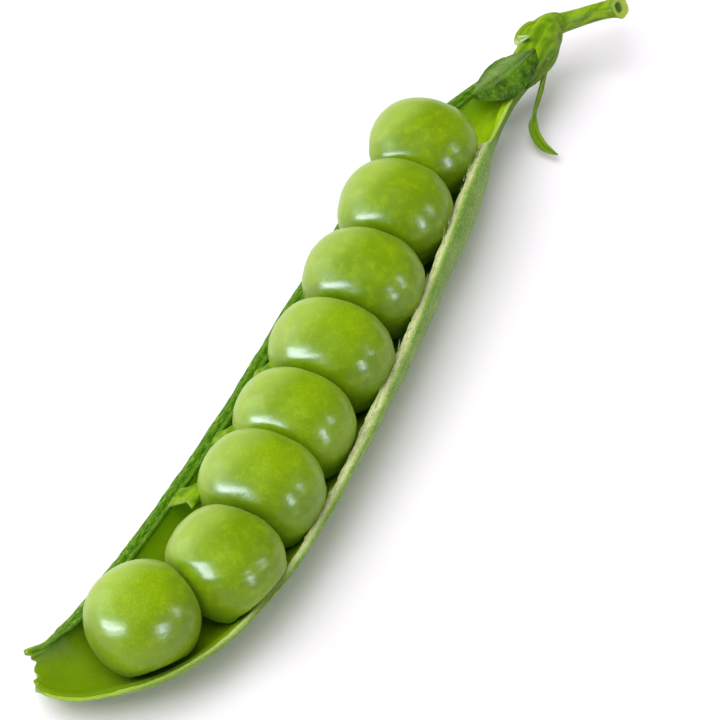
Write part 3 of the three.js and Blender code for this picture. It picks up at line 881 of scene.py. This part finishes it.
def grown_on(tree, name, guide, inputs):
    """Runs a tree on a guide polyline, in drawing mm, and returns the result as a plain mesh object."""
    curve = bpy.data.curves.new(name + "_guide", "CURVE")
    curve.dimensions = "3D"
    spline = curve.splines.new("POLY")
    spline.points.add(len(guide) - 1)
    place = (guide + SHIFT) * MM
    spline.points.foreach_set("co", np.c_[place, np.ones(len(place))].ravel())
    holder = linked(name + "_guide", curve)
    modifier = holder.modifiers.new("grow", "NODES")
    modifier.node_group = tree
    sockets = {s.name: s.identifier for s in tree.interface.items_tree if s.in_out == "INPUT"}
    for key, value in inputs.items():
        modifier[sockets[key]] = value
    graph = bpy.context.evaluated_depsgraph_get()
    graph.update()
    mesh = bpy.data.meshes.new_from_object(holder.evaluated_get(graph))
    holder.modifiers.remove(modifier)
    bpy.data.objects.remove(holder)
    bpy.data.curves.remove(curve)
    mesh.name = name
    return linked(name, mesh)


# ---- the table, the light and the camera ----

# Each lamp: name, the way it lies in, distance in m, width and height in m, watts, and its long side.
# The wet glints have their own lamps, and the matt surfaces have the sail, which gives no reflection.
GLINTS = (
    ("long_softbox", (-0.86, 0.4, 0.3), 0.62, 0.56, 0.16, 14.5, (-0.17, -0.71, 0.68)),
    ("near_strip", (-0.18, -0.93, 0.3), 0.7, 0.06, 0.3, 4.6),
    ("near_strip_faint", (0.4, -0.8, 0.42), 0.7, 0.05, 0.25, 1.9),
    ("far_window", (-0.5, 0.8, 0.38), 1.0, 1.2, 0.7, 9.0),
)
SAIL = ("overhead_sail", (-0.22, 0.3, 1.0), 1.2, 1.3, 1.3, 17.5)
COOL = (0.72, 0.8, 1.0)  # daylight lamps, linear
ROOM_LIGHT = 0.27
TABLE_WHITE = (0.95, 0.91, 0.965, 1)  # linear, and a little magenta against the green that falls on it
CAMERA_AZIMUTH, CAMERA_ELEVATION = math.radians(-56.6), math.radians(52)


def add_table(sizes):
    """Opal acrylic, cast and lit from below: white, matt and shadowless but near the pod."""
    half = sizes.floor_size / 2
    corners = [(-half, -half, 0), (half, -half, 0), (half, half, 0), (-half, half, 0)]
    mesh = bpy.data.meshes.new("pale_table")
    mesh.from_pydata(corners, [], [(0, 1, 2, 3)])
    floor = linked("pale_table", mesh)
    material, tree = new_material("opal_acrylic_light_table")
    shader = node(tree, "ShaderNodeBsdfPrincipled", {
        "Base Color": TABLE_WHITE, "Roughness": 0.9, "Specular IOR Level": 0.0,
        "Emission Color": (1, 1, 1, 1), "Emission Strength": sizes.table_glow,
    })
    node(tree, "ShaderNodeOutputMaterial", {"Surface": shader.outputs[0]})
    mesh.materials.append(material)


def add_room():
    """An even white room, which gives no reflection."""
    world = bpy.data.worlds.new("soft_room")
    world.use_nodes = True
    sky = world.node_tree.nodes["Background"].inputs
    sky["Color"].default_value = (1, 1, 1, 1)
    sky["Strength"].default_value = ROOM_LIGHT
    world.cycles_visibility.glossy = False
    bpy.context.scene.world = world


def add_softbox(name, way, distance, width, height, watts, long_side=None):
    """A lamp that lies that way from the pod and faces it. long_side is where its width points."""
    lamp = bpy.data.lights.new(name, "AREA")
    lamp.shape, lamp.size, lamp.size_y, lamp.energy = "RECTANGLE", width, height, watts
    holder = linked(name, lamp)
    way = Vector(way).normalized()
    holder.location = way * distance
    holder.rotation_euler = way.to_track_quat("Z", "Y").to_euler()
    if long_side:
        across = Vector(long_side)
        across = (across - way * across.dot(way)).normalized()
        holder.rotation_euler = Matrix((across, way.cross(across), way)).transposed().to_euler()
    return holder


def add_camera(sizes):
    """A long lens, high over the stalk end's left, aimed at the middle of the drawing."""
    lens = bpy.data.cameras.new("camera")
    lens.lens, lens.sensor_width = sizes.camera_lens, 36.0
    lens.clip_start, lens.clip_end = 0.01, 20.0
    camera = linked("camera", lens)
    level = math.cos(CAMERA_ELEVATION)
    away = Vector((math.sin(CAMERA_AZIMUTH) * level, -math.cos(CAMERA_AZIMUTH) * level,
                   math.sin(CAMERA_ELEVATION)))
    camera.location = Vector((SHIFT * MM).tolist()) + away * sizes.camera_distance
    camera.rotation_euler = away.to_track_quat("Z", "Y").to_euler()
    bpy.context.scene.camera = camera


# ---- what a user would change ----

PALETTE = {
    "skin": ("Pod skin", "#6A981E"),
    "bloom": ("Waxy bloom on the pod's skin", "#ACC46C"),
    "lining": ("Pod lining", "#88AA00"),
    # The lighter colour painted on the lining where it lies in shade: painted light.
    "lining_light": ("Pod lining, painted light where it lies in shade", "#B8E01C"),
    "lining_dark": ("Pod lining in its deeper patches", "#6C8C00"),
    "torn": ("Torn fibres", "#F2F3C0"),
    "torn_shade": ("Shade between the torn fibres", "#A8BC6E"),
    "seam": ("Woody seam", "#3C7206"),
    "seam_light": ("Strands of the woody seam", "#A6C83A"),
    "pea": ("Pea seed coat", "#8CB000"),
    "pea_deep": ("Pea seed coat, deeper patches", "#769800"),
    "pea_pale": ("Pea seed coat, pale mottling", "#A6C404"),
    # The pale colour painted on each pea's lit side: a painted sheen.
    "pea_fed": ("Pea seed coat, painted sheen on its lit side", "#CBE476"),
    "stalk": ("Stalk", "#8CB00A"),
    "stalk_dark": ("Stalk, darker streaks", "#5E8808"),
    "stalk_pale": ("Stalk, pale patches", "#C2D858"),
    "leaf": ("Sepal leaf", "#548000"),
    "leaf_dark": ("Sepal leaf, darker patches", "#2E5000"),
    # Pale midrib, edges and veins, and the painted highlight on the broad sepal.
    "leaf_pale": ("Sepal leaf, pale parts and painted highlight", "#BCD28C"),
}


def to_hex(rgb):
    return "#" + "".join(f"{round(255 * c):02X}" for c in rgb)


class PeaPodColours(bpy.types.PropertyGroup):
    """The pod's colours, as sRGB."""

    __annotations__ = {
        key: bpy.props.FloatVectorProperty(
            name=label, description=f"{label}, as sRGB", default=from_hex(value),
            size=3, min=0.0, max=1.0, subtype="COLOR_GAMMA")
        for key, (label, value) in PALETTE.items()
    }

    def as_linear(self):
        return {key: linear(to_hex(getattr(self, key))) for key in PALETTE}


class PeaPodSizes(bpy.types.PropertyGroup):
    """The pod's loose sizes."""

    fibre_length: bpy.props.FloatProperty(
        name="Torn fibre length", description="Length of a fibre along the torn rim",
        default=0.0009, min=0.0, unit="LENGTH")
    fibre_thickness: bpy.props.FloatProperty(
        name="Torn fibre thickness", description="Thickness of a fibre at its root",
        default=0.000035, min=0.0, unit="LENGTH")
    fibre_count: bpy.props.IntProperty(
        name="Torn fibres", description="How many fibres lie along the torn rim", default=260, min=2)
    floor_size: bpy.props.FloatProperty(
        name="Table size", description="Side of the pale table", default=3.0, min=0.1, unit="LENGTH")
    table_glow: bpy.props.FloatProperty(
        name="Table glow", description="Light that comes up through the table", default=0.07, min=0.0)
    camera_distance: bpy.props.FloatProperty(
        name="Camera distance", description="From the camera to the middle of the drawing",
        default=0.31, min=0.05, unit="LENGTH")
    camera_lens: bpy.props.FloatProperty(
        name="Camera lens", description="Focal length in mm", default=180.0, min=10.0, unit="CAMERA")


# ---- operators ----


def colours_now():
    return bpy.context.scene.pea_pod_colours.as_linear()


class PEAPOD_OT_valve(bpy.types.Operator):
    """Makes the lower valve with its torn rim, its seam and the fibres along the tear"""

    bl_idname = "peapod.valve"
    bl_label = "Valve"

    def execute(self, context):
        sizes = context.scene.pea_pod_sizes
        points, data = valve_points()
        count, around = points.shape[:2]
        faces = loft_faces(count, around)
        cap = wall_cap(around)
        last = (count - 1) * around
        faces += [face[::-1] for face in cap] + [tuple(last + i for i in face) for face in cap]
        material = pod_wall_material(colours_now())
        piece = make_piece("pod_valve_wall", points.reshape(-1, 3), faces, material,
                           "pod_valve", data)
        face_outwards(piece)
        torn = Valve(np.linspace(0.42, TORN_FROM - 0.01, 240))
        tree = fibre_tree(torn_fibre_material(colours_now()))
        fibres = grown_on(tree, "torn_rim_fibres", torn.point(1.0, 0.5), {
            "Count": sizes.fibre_count, "Length": sizes.fibre_length,
            "Thickness": sizes.fibre_thickness, "Stray": 0.16, "Spread": 0.00034, "Seed": 11,
        })
        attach(fibres, BODY)
        return {"FINISHED"}


class PEAPOD_OT_peas(bpy.types.Operator):
    """Makes the eight peas, each flattened where its neighbours press on it"""

    bl_idname = "peapod.peas"
    bl_label = "Peas"

    def execute(self, context):
        material = pea_skin_material(colours_now())
        faces = pea_faces()
        for number in range(len(PEAS)):
            name = f"pea_{number + 1}"
            points, fed = pea_points(number)
            pea = make_piece(f"{name}_seed", points, faces, material, name, {"fed": fed})
            face_outwards(pea)
        return {"FINISHED"}


class PEAPOD_OT_funicles(bpy.types.Operator):
    """Makes the short webs by which peas hang from the straighter seam"""

    bl_idname = "peapod.funicles"
    bl_label = "Funicles"

    def execute(self, context):
        material = stalk_material("funicle_moist_tissue", colours_now(), (1, 1, 1), 0.4, 0.1)
        for number in range(FUNICLES):
            name = f"funicle_{number + 1}"
            points, faces = capped(funicle_rings(number))
            make_piece(f"{name}_web", points, faces, material, name)
        return {"FINISHED"}


class PEAPOD_OT_calyx(bpy.types.Operator):
    """Makes the calyx cup and its five sepals"""

    bl_idname = "peapod.calyx"
    bl_label = "Calyx"

    def execute(self, context):
        skin = stalk_material("calyx_lumpy_epidermis", colours_now(), (0.4, 1, 1), 0.42)
        points, faces = capped(stalk_rings(CALYX_SLEEVE, SLEEVE_RINGS, SLEEVE_SIDES, cup_relief))
        u = np.linspace(0, 1, SLEEVE_RINGS)[:, None]
        angle = 2 * math.pi * np.arange(SLEEVE_SIDES)[None, :] / SLEEVE_SIDES
        # The hollows between the calyx's ribs and lumps are painted darker: painted shade.
        crease = 0.8 * smoothstep(-cup_relief(u, angle), -0.02, 0.1).ravel()
        make_piece("calyx_cup_skin", points, faces, skin, "calyx_cup",
                   {"crease": np.r_[crease, 0, 0]})
        leaf = leaf_material(colours_now())
        for name in SEPALS:
            rings, pale = sepal_rings(name)
            points, faces = capped(rings)
            young = np.full(len(points), YOUNG.get(name, 0.0))
            data = {"pale": pale, "young": young}
            make_piece(f"{name}_blade", points, faces, leaf, name, data)
        return {"FINISHED"}


class PEAPOD_OT_stem(bpy.types.Operator):
    """Makes the cut length of stem"""

    bl_idname = "peapod.stem"
    bl_label = "Stem"

    def execute(self, context):
        skin = stalk_material("stem_ribbed_epidermis", colours_now(), (0.25, 0.9, 1.2), 0.42)
        rings = stem_rings()
        points, faces = capped(rings)
        depth = np.arange(len(rings)) - STEM_RINGS
        cut = np.repeat(np.where((depth >= 0) & (depth < PALE_CUT_RINGS), 0.9, 0.0), STEM_SIDES)
        # The hollow of the cut face is painted darker: painted shade.
        crease = np.repeat(np.where(depth >= PALE_CUT_RINGS, 1.0, 0.0), STEM_SIDES)
        make_piece("stem_cut_length", points, faces, skin, "stem",
                   {"cut": np.r_[cut, 0, 0], "crease": np.r_[crease, 0, 1]})
        return {"FINISHED"}


class PEAPOD_OT_stage(bpy.types.Operator):
    """Makes the pale table, the soft lights and the camera"""

    bl_idname = "peapod.stage"
    bl_label = "Stage"

    def execute(self, context):
        sizes = context.scene.pea_pod_sizes
        context.scene.view_settings.view_transform = "Standard"
        add_table(sizes)
        add_room()
        for glint in GLINTS:
            lamp = add_softbox(*glint)
            lamp.visible_diffuse = False
            lamp.data.color = COOL
        add_softbox(*SAIL).visible_glossy = False
        add_camera(sizes)
        return {"FINISHED"}


class PEAPOD_PT_panel(bpy.types.Panel):
    """The pea pod's sizes, colours and pieces"""

    bl_idname = "PEAPOD_PT_panel"
    bl_label = "Pea pod"
    bl_space_type = "VIEW_3D"
    bl_region_type = "UI"
    bl_category = "Pea pod"

    def draw(self, context):
        for group in (context.scene.pea_pod_sizes, context.scene.pea_pod_colours):
            for key in group.__annotations__:
                self.layout.prop(group, key)
        for operator in OPERATORS:
            self.layout.operator(operator.bl_idname)


OPERATORS = (
    PEAPOD_OT_valve, PEAPOD_OT_peas, PEAPOD_OT_funicles, PEAPOD_OT_calyx, PEAPOD_OT_stem, PEAPOD_OT_stage,
)
CLASSES = (PeaPodColours, PeaPodSizes, *OPERATORS, PEAPOD_PT_panel)


def register():
    for each in CLASSES:
        bpy.utils.register_class(each)
    bpy.types.Scene.pea_pod_colours = bpy.props.PointerProperty(type=PeaPodColours)
    bpy.types.Scene.pea_pod_sizes = bpy.props.PointerProperty(type=PeaPodSizes)


def unregister():
    del bpy.types.Scene.pea_pod_sizes
    del bpy.types.Scene.pea_pod_colours
    for each in reversed(CLASSES):
        bpy.utils.unregister_class(each)


def main():
    register()
    bpy.ops.peapod.valve()
    bpy.ops.peapod.peas()
    bpy.ops.peapod.funicles()
    bpy.ops.peapod.calyx()
    bpy.ops.peapod.stem()
    bpy.ops.peapod.stage()


if __name__ == "__main__":
    main()
